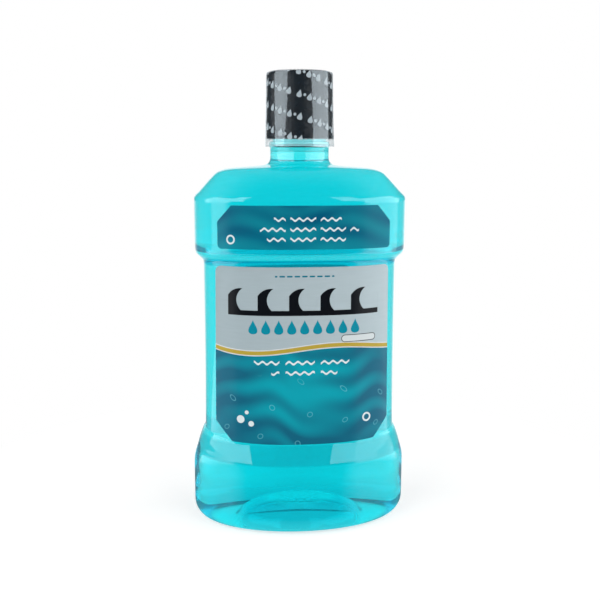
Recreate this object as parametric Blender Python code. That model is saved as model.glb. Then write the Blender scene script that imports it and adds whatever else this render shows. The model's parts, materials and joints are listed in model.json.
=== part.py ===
"""A large mouthwash bottle with a measuring screw cap, at its real size in metres.

+Z is up. The bottle stands on z = 0 with its neck on the Z axis, and its front label faces -Y.
The cap turns about the Z axis and rises along it on the thread of the neck.
"""

import math

import bmesh
import bpy
from mathutils import Vector

# Fits and clearances
SEAT_GAP = 0.0003
THREAD_RADIAL_PLAY = 0.0004
THREAD_FLANK_PLAY = 0.0004
LABEL_GAP = 0.0003

# Bottle, outside sizes across (X) and front to back (Y)
BASE_WIDTH = 0.1320
BASE_DEPTH = 0.0804
WAIST_FOOT_WIDTH = 0.1172
WAIST_HEAD_WIDTH = 0.1158
WAIST_DEPTH = 0.0716
BLOCK_WIDTH = 0.1260
BLOCK_DEPTH = 0.0820
CROWN_WIDTH = 0.0870
CROWN_DEPTH = 0.0560
BODY_WALL = 0.0008

# Bottle, heights of its zones from the foot up
BASE_HEIGHT = 0.0340
FLARE_HEIGHT = 0.0255
WAIST_HEIGHT = 0.1011
LEDGE_HEIGHT = 0.0120
BLOCK_HEIGHT = 0.0279
ROOF_HEIGHT = 0.0168
CROWN_HEIGHT = 0.0020
NECK_HEIGHT = 0.0103
FOOT_FILLET = 0.0115
FOOT_RING_WIDTH = 0.0050
FOOT_SIDE_WIDTH = 0.0165
PUSH_UP = 0.0135
NECK_FILLET = 0.0045

# Neck and its finish under the cap, outwards from the bore
BORE_DIAMETER = 0.0292
FINISH_WALL = 0.0014
NECK_STEP = 0.0015
BEAD_STEP = 0.0006
BEAD_HEIGHT = 0.0030
BEAD_CHAMFER = 0.0006
BEAD_TO_CAP = 0.0014
FINISH_HEIGHT = 0.0234
RIM_FILLET = 0.0005
BORE_FLARE_HEIGHT = 0.0040

# Thread, right-handed, one start
THREAD_PITCH = 0.0042
THREAD_DEPTH = 0.0011
THREAD_ROOT_WIDTH = 0.0022
THREAD_CREST_WIDTH = 0.0010
THREAD_BELOW_RIM = 0.0030
THREAD_EMBED = 0.0004
NECK_THREAD_TURNS = 1.5
CAP_THREAD_TURNS = 1.1
CAP_THREAD_ROOT_WIDTH = 0.0015
CAP_THREAD_CREST_WIDTH = 0.0008
CAP_THREAD_START_TURNS = 0.2

# Cap
CAP_WALL = 0.0020
CAP_TAPER = 0.0006
CAP_TOP_WALL = 0.0016
CAP_TOP_FILLET = 0.0013
CAP_PLAIN_BAND = 0.0012
CUP_DEPTH = 0.0126
CUP_EASE = 0.0004
KNURL_DEPTH = 0.0003
KNURL_RUNOUT = 0.0004
SEAL_THICKNESS = 0.0015

# Shrink sleeve over the cap
SLEEVE_FILM = 0.0003
SLEEVE_EASE = 0.0007
SLEEVE_HEM_EASE = 0.00105
SLEEVE_LAP = 0.0030
SLEEVE_SKIRT = 0.0050

# Labels: margins from the ends of the zones they lie on
LABEL_FILM = 0.0003
FRONT_LABEL_FOOT_MARGIN = 0.0068
FRONT_LABEL_HEAD_MARGIN = 0.0073
FRONT_LABEL_RISE = 0.0019
FRONT_LABEL_DROP = 0.0025
FRONT_LABEL_SAG = 0.0012
FRONT_LABEL_CHAMFER_WIDTH = 0.0095
FRONT_LABEL_CHAMFER_HEIGHT = 0.0108
FRONT_LABEL_CORNER = 0.0035
SHOULDER_LABEL_SIDE_MARGIN = 0.0138
SHOULDER_LABEL_TOP_MARGIN = 0.0028
SHOULDER_LABEL_FOOT_MARGIN = 0.0006
SHOULDER_LABEL_CHAMFER_WIDTH = 0.0078
SHOULDER_LABEL_CHAMFER_HEIGHT = 0.0092
SHOULDER_LABEL_CORNER = 0.0022
BACK_LABEL_SIDE_MARGIN = 0.0256
BACK_LABEL_TOP_MARGIN = 0.0036
BACK_LABEL_FOOT_MARGIN = 0.0055
BACK_LABEL_CORNER = 0.0040

# Contents
LIQUID_LEVEL_BELOW_RIM = 0.0155

# Counts
BODY_SIDES = 48
ROUND_SIDES = 48
KNURLS = 96
FILLET_STEPS = 4
THREAD_STEPS_PER_TURN = 36
LABEL_COLUMNS = 22
CORNER_STEPS = 3

# Edges steeper than this stay sharp in the shading
SHARP_ANGLE = math.radians(35)

# Plan shape of each level: 2 is an ellipse, more is squarer
BASE_EXPONENT = 2.0
WAIST_EXPONENT = 2.5
BLOCK_EXPONENT = 2.7
ROUND_EXPONENT = 2.0

# Outlines of the zones, as shares chosen along each zone:
# (share of the zone's height, share of the step in width, share of the step in depth)
FLARE_SHARES = (
    (0.21, 0.95, 1.00),
    (0.36, 0.83, 1.00),
    (0.44, 0.75, 0.98),
    (0.50, 0.68, 0.86),
    (0.62, 0.57, 0.60),
    (0.78, 0.39, 0.25),
    (0.87, 0.27, 0.07),
    (0.94, 0.15, 0.00),
    (1.00, 0.00, 0.00),
)
LEDGE_SHARES = (
    (0.25, 0.08, 0.00),
    (0.37, 0.28, 0.02),
    (0.48, 0.58, 0.15),
    (0.61, 0.85, 0.50),
    (0.75, 0.96, 0.90),
    (0.82, 0.98, 1.00),
    (1.00, 1.00, 1.00),
)
ROOF_SHARES = (
    (0.06, 0.975, 0.985),
    (0.21, 0.850, 0.860),
    (0.74, 0.430, 0.340),
    (0.87, 0.310, 0.190),
    (0.95, 0.160, 0.090),
    (1.00, 0.000, 0.000),
)
PUSH_UP_SHARES = ((0.86, 0.42), (0.60, 0.78), (0.36, 0.95))
SLEEVE_WAIST_SHARE = 0.62
SLEEVE_BEND_SHARE = 0.5
THREAD_RUNOUT_SHARE = 0.10
THREAD_END_SHARE = 0.5

# Heights worked out from the sizes above
FLARE_TOP = BASE_HEIGHT + FLARE_HEIGHT
WAIST_TOP = FLARE_TOP + WAIST_HEIGHT
LEDGE_TOP = WAIST_TOP + LEDGE_HEIGHT
BLOCK_TOP = LEDGE_TOP + BLOCK_HEIGHT
ROOF_TOP = BLOCK_TOP + ROOF_HEIGHT
CROWN_TOP = ROOF_TOP + CROWN_HEIGHT
NECK_TOP = CROWN_TOP + NECK_HEIGHT
BEAD_TOP = NECK_TOP + BEAD_CHAMFER + BEAD_HEIGHT
CAP_BOTTOM = BEAD_TOP + BEAD_TO_CAP
RIM_TOP = BEAD_TOP + FINISH_HEIGHT
SEAL_BOTTOM = RIM_TOP + SEAT_GAP
SEAL_TOP = SEAL_BOTTOM + SEAL_THICKNESS
CUP_FOOT = SEAL_TOP + SEAT_GAP
CUP_CEILING = CUP_FOOT + CUP_DEPTH
CAP_TOP = CUP_CEILING + CAP_TOP_WALL
SLEEVE_TOP = CAP_TOP + SEAT_GAP + SLEEVE_FILM
SLEEVE_BOTTOM = CAP_BOTTOM - SLEEVE_SKIRT
LIQUID_LEVEL = RIM_TOP - LIQUID_LEVEL_BELOW_RIM

# Radii worked out from the sizes above
BORE_RADIUS = BORE_DIAMETER / 2
FINISH_RADIUS = BORE_RADIUS + FINISH_WALL
NECK_RADIUS = FINISH_RADIUS + NECK_STEP
BEAD_RADIUS = NECK_RADIUS + BEAD_STEP
NECK_THREAD_CREST = FINISH_RADIUS + THREAD_DEPTH
CAP_BORE_RADIUS = NECK_THREAD_CREST + THREAD_RADIAL_PLAY
CAP_THREAD_CREST = FINISH_RADIUS + THREAD_RADIAL_PLAY
CAP_HEM_RADIUS = CAP_BORE_RADIUS + CAP_WALL
CUP_RADIUS = BORE_RADIUS + CUP_EASE

# Labels: half widths and heights above the foot, worked out from the margins
FRONT_LABEL_FOOT_HALF_WIDTH = WAIST_FOOT_WIDTH / 2 - FRONT_LABEL_FOOT_MARGIN
FRONT_LABEL_HEAD_HALF_WIDTH = WAIST_HEAD_WIDTH / 2 - FRONT_LABEL_HEAD_MARGIN
FRONT_LABEL_TOP = WAIST_TOP + FRONT_LABEL_RISE
FRONT_LABEL_BOTTOM = FLARE_TOP - FRONT_LABEL_DROP
SHOULDER_LABEL_HALF_WIDTH = BLOCK_WIDTH / 2 - SHOULDER_LABEL_SIDE_MARGIN
SHOULDER_LABEL_TOP = BLOCK_TOP - SHOULDER_LABEL_TOP_MARGIN
SHOULDER_LABEL_BOTTOM = LEDGE_TOP + SHOULDER_LABEL_FOOT_MARGIN
BACK_LABEL_FOOT_HALF_WIDTH = WAIST_FOOT_WIDTH / 2 - BACK_LABEL_SIDE_MARGIN
BACK_LABEL_HEAD_HALF_WIDTH = WAIST_HEAD_WIDTH / 2 - BACK_LABEL_SIDE_MARGIN
BACK_LABEL_TOP = WAIST_TOP - BACK_LABEL_TOP_MARGIN
BACK_LABEL_BOTTOM = FLARE_TOP + BACK_LABEL_FOOT_MARGIN

# Colours as red, green, blue
BOTTLE_COLOUR = (0.02, 0.62, 0.70)
LIQUID_COLOUR = (0.005, 0.55, 0.66)
CAP_COLOUR = (0.011, 0.018, 0.028)
SEAL_COLOUR = (0.75, 0.76, 0.76)
SLEEVE_COLOUR = (0.80, 0.84, 0.86)
FRONT_LABEL_COLOUR = (0.35, 0.45, 0.48)
SHOULDER_LABEL_COLOUR = (0.003, 0.16, 0.24)
BACK_LABEL_COLOUR = (0.45, 0.60, 0.64)


def clear_scene():
    for existing in list(bpy.data.objects):
        bpy.data.objects.remove(existing, do_unlink=True)


def material(name, colour, roughness, metallic=0.0):
    made = bpy.data.materials.new(name)
    made.use_nodes = True
    shader = made.node_tree.nodes["Principled BSDF"]
    shader.inputs["Base Color"].default_value = (*colour, 1.0)
    shader.inputs["Roughness"].default_value = roughness
    shader.inputs["Metallic"].default_value = metallic
    made.diffuse_color = (*colour, 1.0)
    return made


def new_object(name, bm, finish, parent=None):
    """Makes a smooth-shaded object of the mesh, with its material, under its parent."""
    bmesh.ops.recalc_face_normals(bm, faces=bm.faces)
    mesh = bpy.data.meshes.new(name)
    bm.to_mesh(mesh)
    bm.free()
    mesh.shade_smooth()
    mesh.set_sharp_from_angle(angle=SHARP_ANGLE)
    made = bpy.data.objects.new(name, mesh)
    bpy.context.scene.collection.objects.link(made)
    if finish is not None:
        mesh.materials.append(finish)
    made.parent = parent
    return made


def hide_helper(helper):
    helper.hide_render = True
    helper.display_type = "WIRE"


def unite(body, helper):
    """Joins the helper's solid to the body with a Boolean union."""
    union = body.modifiers.new("join_" + helper.name, "BOOLEAN")
    union.operation = "UNION"
    union.solver = "EXACT"
    union.object = helper
    hide_helper(helper)


def between(start, end, share):
    return start + (end - start) * share


def level_ring(height, half_width, half_depth, exponent, sides):
    """Points around one level, counter-clockwise from above, on a superellipse."""
    points = []
    for step in range(sides):
        turn = math.tau * step / sides
        across = math.copysign(abs(math.cos(turn)) ** (2 / exponent), math.cos(turn))
        along = math.copysign(abs(math.sin(turn)) ** (2 / exponent), math.sin(turn))
        points.append(Vector((half_width * across, half_depth * along, height)))
    return points


def round_ring(radius, height, sides=ROUND_SIDES):
    return level_ring(height, radius, radius, ROUND_EXPONENT, sides)


def knurled_ring(radius, height):
    """A round level whose every second point lies in a groove."""
    points = []
    for step in range(2 * KNURLS):
        turn = math.tau * step / (2 * KNURLS)
        reach = radius - KNURL_DEPTH * (step % 2)
        points.append(Vector((reach * math.cos(turn), reach * math.sin(turn), height)))
    return points


def join_rings(bm, first, second):
    """Faces between two rings. A ring of one point is a pole, and unlike counts are zipped."""
    a = len(first)
    b = len(second)
    if a == b:
        for i in range(a):
            n = (i + 1) % a
            bm.faces.new((first[i], first[n], second[n], second[i]))
        return
    i = 0
    j = 0
    while i < a or j < b:
        first_is_next = j >= b or (i < a and (i + 1) * b <= (j + 1) * a)
        if first_is_next and a > 1:
            bm.faces.new((first[i % a], first[(i + 1) % a], second[j % b]))
        elif not first_is_next and b > 1:
            bm.faces.new((first[i % a], second[(j + 1) % b], second[j % b]))
        i += first_is_next
        j += not first_is_next


def skin(rings, closed=False):
    """A surface through the rings, which run out of the pole, round the solid and back."""
    bm = bmesh.new()
    made = [[bm.verts.new(point) for point in ring] for ring in rings]
    for first, second in zip(made, made[1:]):
        join_rings(bm, first, second)
    if closed:
        join_rings(bm, made[-1], made[0])
    return bm


def zone_levels(bottom, height, outer, inner, shares, low_exponent, high_exponent):
    """Levels through a zone as (height, half width, half depth, exponent).

    Outer and inner are the width and depth that the shares 1 and 0 stand for.
    """
    levels = []
    for up, wide, deep in shares:
        half_width = between(inner[0], outer[0], wide) / 2
        half_depth = between(inner[1], outer[1], deep) / 2
        exponent = between(low_exponent, high_exponent, up)
        levels.append((bottom + height * up, half_width, half_depth, exponent))
    return levels


def foot_levels():
    """The flat foot's outer edge and the fillet above it."""
    levels = []
    for step in range(FILLET_STEPS + 1):
        angle = math.pi / 2 * step / FILLET_STEPS
        inset = FOOT_FILLET * (1 - math.sin(angle))
        rise = FOOT_FILLET * (1 - math.cos(angle))
        levels.append((rise, BASE_WIDTH / 2 - inset, BASE_DEPTH / 2 - inset, BASE_EXPONENT))
    return levels


def neck_fillet_levels():
    """The round cove from the crown into the neck."""
    levels = []
    for step in range(1, FILLET_STEPS):
        angle = math.pi / 2 * step / (FILLET_STEPS - 1)
        radius = NECK_RADIUS + NECK_FILLET * (1 - math.sin(angle))
        height = CROWN_TOP + NECK_FILLET * (1 - math.cos(angle))
        levels.append((height, radius, radius, ROUND_EXPONENT))
    return levels


def body_levels():
    """Every level of the blown body, from the foot's outer edge to the plain neck."""
    base = (BASE_WIDTH, BASE_DEPTH)
    waist_foot = (WAIST_FOOT_WIDTH, WAIST_DEPTH)
    waist_head = (WAIST_HEAD_WIDTH, WAIST_DEPTH)
    block = (BLOCK_WIDTH, BLOCK_DEPTH)
    crown = (CROWN_WIDTH, CROWN_DEPTH)
    levels = foot_levels()
    levels.append((BASE_HEIGHT, BASE_WIDTH / 2, BASE_DEPTH / 2, BASE_EXPONENT))
    levels += zone_levels(
        BASE_HEIGHT, FLARE_HEIGHT, base, waist_foot, FLARE_SHARES, BASE_EXPONENT, WAIST_EXPONENT
    )
    levels.append((WAIST_TOP, WAIST_HEAD_WIDTH / 2, WAIST_DEPTH / 2, WAIST_EXPONENT))
    levels += zone_levels(
        WAIST_TOP, LEDGE_HEIGHT, block, waist_head, LEDGE_SHARES, WAIST_EXPONENT, BLOCK_EXPONENT
    )
    levels.append((BLOCK_TOP, BLOCK_WIDTH / 2, BLOCK_DEPTH / 2, BLOCK_EXPONENT))
    levels += zone_levels(
        BLOCK_TOP, ROOF_HEIGHT, block, crown, ROOF_SHARES, BLOCK_EXPONENT, BLOCK_EXPONENT
    )
    cove_radius = NECK_RADIUS + NECK_FILLET
    levels.append((CROWN_TOP, cove_radius, cove_radius, ROUND_EXPONENT))
    levels += neck_fillet_levels()
    return levels


def push_up_rings():
    """The domed underside, from its middle out to the foot's inner edge."""
    half_width = BASE_WIDTH / 2 - FOOT_FILLET - FOOT_SIDE_WIDTH
    half_depth = BASE_DEPTH / 2 - FOOT_FILLET - FOOT_RING_WIDTH
    rings = [[Vector((0, 0, PUSH_UP))]]
    for reach, rise in reversed(PUSH_UP_SHARES):
        ring = level_ring(
            PUSH_UP * rise, half_width * reach, half_depth * reach, BASE_EXPONENT, BODY_SIDES
        )
        rings.append(ring)
    rings.append(level_ring(0, half_width, half_depth, BASE_EXPONENT, BODY_SIDES))
    return rings


def body_rings():
    """The outside of the blown body, as rings from the push-up's middle to the plain neck."""
    levels = [level_ring(*level, BODY_SIDES) for level in body_levels()]
    return push_up_rings() + levels


def inset_rings(rings, inset):
    """The rings moved square to the surface by the inset, towards the inside."""
    bm = bmesh.new()
    made = [[bm.verts.new(point) for point in ring] for ring in rings]
    for first, second in zip(made, made[1:]):
        join_rings(bm, first, second)
    bm.normal_update()
    moved = []
    for ring in made:
        moved.append([v.co - v.normal * (v.calc_shell_factor() * inset) for v in ring])
    bm.free()
    return moved


def finish_rings():
    """The outside of the neck finish: neck, transfer bead, threaded barrel and rim."""
    profile = (
        (NECK_RADIUS, NECK_TOP),
        (BEAD_RADIUS, NECK_TOP + BEAD_CHAMFER),
        (BEAD_RADIUS, BEAD_TOP - BEAD_CHAMFER),
        (BEAD_RADIUS - BEAD_CHAMFER, BEAD_TOP),
        (FINISH_RADIUS, BEAD_TOP),
        (FINISH_RADIUS, RIM_TOP - RIM_FILLET),
        (FINISH_RADIUS - RIM_FILLET, RIM_TOP),
        (BORE_RADIUS + RIM_FILLET, RIM_TOP),
        (BORE_RADIUS, RIM_TOP - RIM_FILLET),
    )
    return [round_ring(radius, height) for radius, height in profile]


def bore_rings(inset, top):
    """The inside of the neck from the top down: the bore and its flare to the neck's wall."""
    bore_foot = BEAD_TOP - BEAD_CHAMFER
    profile = (
        (BORE_RADIUS - inset, top),
        (BORE_RADIUS - inset, bore_foot),
        (NECK_RADIUS - BODY_WALL - inset, bore_foot - BORE_FLARE_HEIGHT),
    )
    return [round_ring(radius, height) for radius, height in profile]


def make_bottle(root):
    outside = body_rings()
    inside = inset_rings(outside, BODY_WALL)
    rings = outside + finish_rings()
    rings += bore_rings(0, RIM_TOP - RIM_FILLET)[1:]
    rings += reversed(inside)
    finish = material("clear_teal_plastic", BOTTLE_COLOUR, 0.05)
    bottle = new_object("bottle_body", skin(rings), finish, root)
    unite(bottle, make_neck_thread(root))
    return bottle


def make_liquid(root):
    """The mouthwash, filling the body and the foot of the neck."""
    body = inset_rings(body_rings(), BODY_WALL + SEAT_GAP)
    neck = list(reversed(bore_rings(SEAT_GAP, LIQUID_LEVEL)))
    rings = body + neck + [[Vector((0, 0, LIQUID_LEVEL))]]
    return new_object("mouthwash", skin(rings), material("mouthwash", LIQUID_COLOUR, 0.02), root)


def helix_ridge(name, root_radius, crest_radius, root_width, crest_width, foot, turns, start):
    """A thread ridge of four-sided section, whose ends run out into its wall."""
    outward = math.copysign(1, crest_radius - root_radius)
    buried = root_radius - outward * THREAD_EMBED
    steps = round(turns * THREAD_STEPS_PER_TURN)
    bm = bmesh.new()
    sections = []
    for step in range(steps + 1):
        along = step / steps
        swell = min(1, along / THREAD_RUNOUT_SHARE, (1 - along) / THREAD_RUNOUT_SHARE)
        crest = between(between(buried, root_radius, THREAD_END_SHARE), crest_radius, swell)
        turn = math.tau * (start + turns * along)
        height = foot + THREAD_PITCH * (start + turns * along)
        outline = (
            (buried, -root_width / 2),
            (crest, -crest_width / 2),
            (crest, crest_width / 2),
            (buried, root_width / 2),
        )
        section = []
        for radius, up in outline:
            point = (radius * math.cos(turn), radius * math.sin(turn), height + up)
            section.append(bm.verts.new(point))
        sections.append(section)
    for first, second in zip(sections, sections[1:]):
        join_rings(bm, first, second)
    bm.faces.new(sections[0])
    bm.faces.new(sections[-1])
    return new_object(name, bm, None)


def neck_thread_foot():
    return RIM_TOP - THREAD_BELOW_RIM - NECK_THREAD_TURNS * THREAD_PITCH


def make_neck_thread(root):
    ridge = helix_ridge(
        "neck_thread_ridge",
        FINISH_RADIUS,
        NECK_THREAD_CREST,
        THREAD_ROOT_WIDTH,
        THREAD_CREST_WIDTH,
        neck_thread_foot(),
        NECK_THREAD_TURNS,
        0,
    )
    ridge.parent = root
    return ridge


def thread_offset():
    """How far the cap's ridge sits under the neck's, with its play between the flanks."""
    flank = THREAD_ROOT_WIDTH - THREAD_CREST_WIDTH
    reach = (CAP_THREAD_CREST - FINISH_RADIUS) / THREAD_DEPTH
    neck_half = (THREAD_ROOT_WIDTH - flank * reach) / 2
    return neck_half + CAP_THREAD_CREST_WIDTH / 2 + THREAD_FLANK_PLAY


def make_cap_thread(parent):
    ridge = helix_ridge(
        "cap_thread_ridge",
        CAP_BORE_RADIUS,
        CAP_THREAD_CREST,
        CAP_THREAD_ROOT_WIDTH,
        CAP_THREAD_CREST_WIDTH,
        neck_thread_foot() - thread_offset(),
        CAP_THREAD_TURNS,
        CAP_THREAD_START_TURNS,
    )
    ridge.parent = parent
    return ridge


def cap_radius(height):
    """The cap's outside radius over the knurls, which tapers evenly to the top."""
    share = (height - CAP_BOTTOM) / (CAP_TOP - CAP_BOTTOM)
    return CAP_HEM_RADIUS - CAP_TAPER * share


def cap_inside_rings():
    """The measuring cup, the ledge over the seal and the threaded skirt, downwards."""
    return [
        [Vector((0, 0, CUP_CEILING))],
        round_ring(CUP_RADIUS - CAP_TOP_FILLET, CUP_CEILING),
        round_ring(CUP_RADIUS, CUP_CEILING - CAP_TOP_FILLET),
        round_ring(CUP_RADIUS, CUP_FOOT),
        round_ring(CAP_BORE_RADIUS, CUP_FOOT),
        round_ring(CAP_BORE_RADIUS, CAP_BOTTOM),
    ]


def cap_outside_rings():
    """The plain hem, the knurled wall and the rounded top, upwards."""
    hem = CAP_BOTTOM + CAP_PLAIN_BAND
    knurl_top = CAP_TOP - CAP_TOP_FILLET - KNURL_RUNOUT
    rings = [
        round_ring(cap_radius(CAP_BOTTOM), CAP_BOTTOM),
        round_ring(cap_radius(hem), hem),
        knurled_ring(cap_radius(hem), hem + KNURL_RUNOUT),
        knurled_ring(cap_radius(knurl_top), knurl_top),
    ]
    for step in range(FILLET_STEPS):
        angle = math.pi / 2 * step / (FILLET_STEPS - 1)
        inset = CAP_TOP_FILLET * (1 - math.cos(angle))
        height = CAP_TOP - CAP_TOP_FILLET * (1 - math.sin(angle))
        rings.append(round_ring(cap_radius(CAP_TOP) - KNURL_DEPTH - inset, height))
    rings.append([Vector((0, 0, CAP_TOP))])
    return rings


def make_cap(turner):
    rings = cap_inside_rings() + cap_outside_rings()
    finish = material("black_plastic", CAP_COLOUR, 0.35)
    cap = new_object("measuring_cap", skin(rings), finish, turner)
    unite(cap, make_cap_thread(turner))
    return cap


def make_seal(carrier):
    """The washer between the bottle's rim and the ledge in the cap."""
    outer = CAP_BORE_RADIUS - SEAT_GAP
    profile = (
        (BORE_RADIUS, SEAL_TOP),
        (BORE_RADIUS, SEAL_BOTTOM),
        (outer, SEAL_BOTTOM),
        (outer, SEAL_TOP),
    )
    rings = [round_ring(radius, height) for radius, height in profile]
    finish = material("seal_foam", SEAL_COLOUR, 0.8)
    return new_object("cap_seal_washer", skin(rings, closed=True), finish, carrier)


def sleeve_profile(film):
    """The film's outside, or with the film's thickness its inside, from the lap to the hem."""
    top = SLEEVE_TOP - film
    waist = between(SLEEVE_BOTTOM, SLEEVE_TOP, SLEEVE_WAIST_SHARE)
    corner = CAP_TOP - CAP_TOP_FILLET
    ease = SLEEVE_EASE + SLEEVE_FILM - film
    hem_ease = SLEEVE_HEM_EASE + SLEEVE_FILM - film
    flat = cap_radius(CAP_TOP) - KNURL_DEPTH
    return (
        (flat - SLEEVE_LAP, top),
        (flat - CAP_TOP_FILLET, top),
        (cap_radius(CAP_TOP) + ease * SLEEVE_BEND_SHARE, CAP_TOP),
        (cap_radius(corner) + ease, corner),
        (cap_radius(waist) + ease, waist),
        (CAP_HEM_RADIUS + hem_ease, SLEEVE_BOTTOM),
    )


def make_sleeve(turner):
    """The clear printed tamper film, shrunk over the cap and hanging clear of the neck."""
    inside = [round_ring(radius, height) for radius, height in sleeve_profile(SLEEVE_FILM)]
    outside = [round_ring(radius, height) for radius, height in reversed(sleeve_profile(0))]
    finish = material("clear_film", SLEEVE_COLOUR, 0.15)
    rings = inside + outside
    return new_object("shrink_sleeve", skin(rings, closed=True), finish, turner)


def sizes_at(height):
    """Half width, half depth and exponent of the body at a height."""
    levels = body_levels()
    for low, high in zip(levels, levels[1:]):
        if low[0] <= height <= high[0]:
            share = (height - low[0]) / (high[0] - low[0])
            return tuple(between(a, b, share) for a, b in zip(low[1:], high[1:]))
    return levels[-1][1:]


def wall_point(x, height):
    """The body's wall at a place across it, as a point and its outward direction in plan."""
    half_width, half_depth, exponent = sizes_at(height)
    depth = half_depth * (1 - abs(x / half_width) ** exponent) ** (1 / exponent)
    slope_x = math.copysign(abs(x / half_width) ** (exponent - 1) / half_width, x)
    slope_y = (depth / half_depth) ** (exponent - 1) / half_depth
    return Vector((x, depth)), Vector((slope_x, slope_y)).normalized()


def rounded_drop(from_edge, corner):
    """How far a rounded corner falls back at a distance from the label's side edge."""
    if from_edge >= corner:
        return 0
    return corner - math.sqrt(corner**2 - (corner - from_edge) ** 2)


def chamfered_drop(from_edge, width, height):
    return max(0, height * (1 - from_edge / width))


def label_columns(half_width, corner, chamfer_width):
    """Places across a label: close together in its corners, even between them."""
    offsets = {0, chamfer_width}
    for step in range(1, CORNER_STEPS + 1):
        offsets.add(corner * (1 - math.cos(math.pi / 2 * step / CORNER_STEPS)))
    inner = half_width - max(offsets)
    places = [half_width - offset for offset in offsets]
    places = [-place for place in places] + places
    for step in range(1, LABEL_COLUMNS):
        places.append(between(-inner, inner, step / LABEL_COLUMNS))
    return sorted(places)


def label_sheet(name, finish, columns, edges, facing, root, head_share=1):
    """A film bent round the body, from columns across it and its lower and upper edge.

    The head share is the label's width at its upper edge over that at its lower edge.
    """
    bm = bmesh.new()
    sections = []
    for x in columns:
        low, high = edges(x)
        foot_wall, foot_out = wall_point(x, low)
        head_wall, head_out = wall_point(x * head_share, high)
        corners = (
            (foot_wall + foot_out * LABEL_GAP, low),
            (foot_wall + foot_out * (LABEL_GAP + LABEL_FILM), low),
            (head_wall + head_out * (LABEL_GAP + LABEL_FILM), high),
            (head_wall + head_out * LABEL_GAP, high),
        )
        section = []
        for plan, height in corners:
            section.append(bm.verts.new((plan.x, facing * plan.y, height)))
        sections.append(section)
    for first, second in zip(sections, sections[1:]):
        join_rings(bm, first, second)
    bm.faces.new(sections[0])
    bm.faces.new(sections[-1])
    return new_object(name, bm, finish, root)


def front_label_edges(x):
    """The front label: rounded upper corners, chamfered lower ones and a sagging lower edge."""
    from_edge = FRONT_LABEL_FOOT_HALF_WIDTH - abs(x)
    high = FRONT_LABEL_TOP - rounded_drop(from_edge, FRONT_LABEL_CORNER)
    sag = FRONT_LABEL_SAG * (x / FRONT_LABEL_FOOT_HALF_WIDTH) ** 2
    chamfer = chamfered_drop(from_edge, FRONT_LABEL_CHAMFER_WIDTH, FRONT_LABEL_CHAMFER_HEIGHT)
    return FRONT_LABEL_BOTTOM + sag + chamfer, high


def shoulder_label_edges(x):
    """The shoulder label: chamfered upper corners and rounded lower ones."""
    from_edge = SHOULDER_LABEL_HALF_WIDTH - abs(x)
    chamfer = chamfered_drop(
        from_edge, SHOULDER_LABEL_CHAMFER_WIDTH, SHOULDER_LABEL_CHAMFER_HEIGHT
    )
    low = SHOULDER_LABEL_BOTTOM + rounded_drop(from_edge, SHOULDER_LABEL_CORNER)
    return low, SHOULDER_LABEL_TOP - chamfer


def back_label_edges(x):
    drop = rounded_drop(BACK_LABEL_FOOT_HALF_WIDTH - abs(x), BACK_LABEL_CORNER)
    return BACK_LABEL_BOTTOM + drop, BACK_LABEL_TOP - drop


def make_labels(root):
    front = label_columns(
        FRONT_LABEL_FOOT_HALF_WIDTH, FRONT_LABEL_CORNER, FRONT_LABEL_CHAMFER_WIDTH
    )
    head_share = FRONT_LABEL_HEAD_HALF_WIDTH / FRONT_LABEL_FOOT_HALF_WIDTH
    finish = material("front_label_film", FRONT_LABEL_COLOUR, 0.3)
    label_sheet("front_label", finish, front, front_label_edges, -1, root, head_share)
    shoulder = label_columns(
        SHOULDER_LABEL_HALF_WIDTH, SHOULDER_LABEL_CORNER, SHOULDER_LABEL_CHAMFER_WIDTH
    )
    finish = material("shoulder_label_film", SHOULDER_LABEL_COLOUR, 0.3)
    label_sheet("shoulder_label", finish, shoulder, shoulder_label_edges, -1, root)
    back = label_columns(BACK_LABEL_FOOT_HALF_WIDTH, BACK_LABEL_CORNER, BACK_LABEL_CORNER)
    head_share = BACK_LABEL_HEAD_HALF_WIDTH / BACK_LABEL_FOOT_HALF_WIDTH
    finish = material("back_label_film", BACK_LABEL_COLOUR, 0.3)
    label_sheet("back_label", finish, back, back_label_edges, 1, root, head_share)


def new_pivot(name, parent=None):
    pivot = bpy.data.objects.new(name, None)
    bpy.context.scene.collection.objects.link(pivot)
    pivot.parent = parent
    return pivot


def build():
    clear_scene()
    root = new_pivot("bottle_root")
    carrier = new_pivot("cap_lift_axis", root)
    turner = new_pivot("cap_turn_axis", carrier)
    make_bottle(root)
    make_liquid(root)
    make_labels(root)
    make_seal(carrier)
    make_cap(turner)
    make_sleeve(turner)


build()
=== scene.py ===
"""The looks of a large mouthwash bottle: clear teal plastic, liquid, printed films, a ribbed cap.

Sizes of the bottle are in mm, those of the camera, the lamps and the table in metres. The frame is
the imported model's: +Z up, the front label towards -Y.
"""

import json
import math

import bpy
import numpy as np
from mathutils import Matrix, Vector

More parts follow.
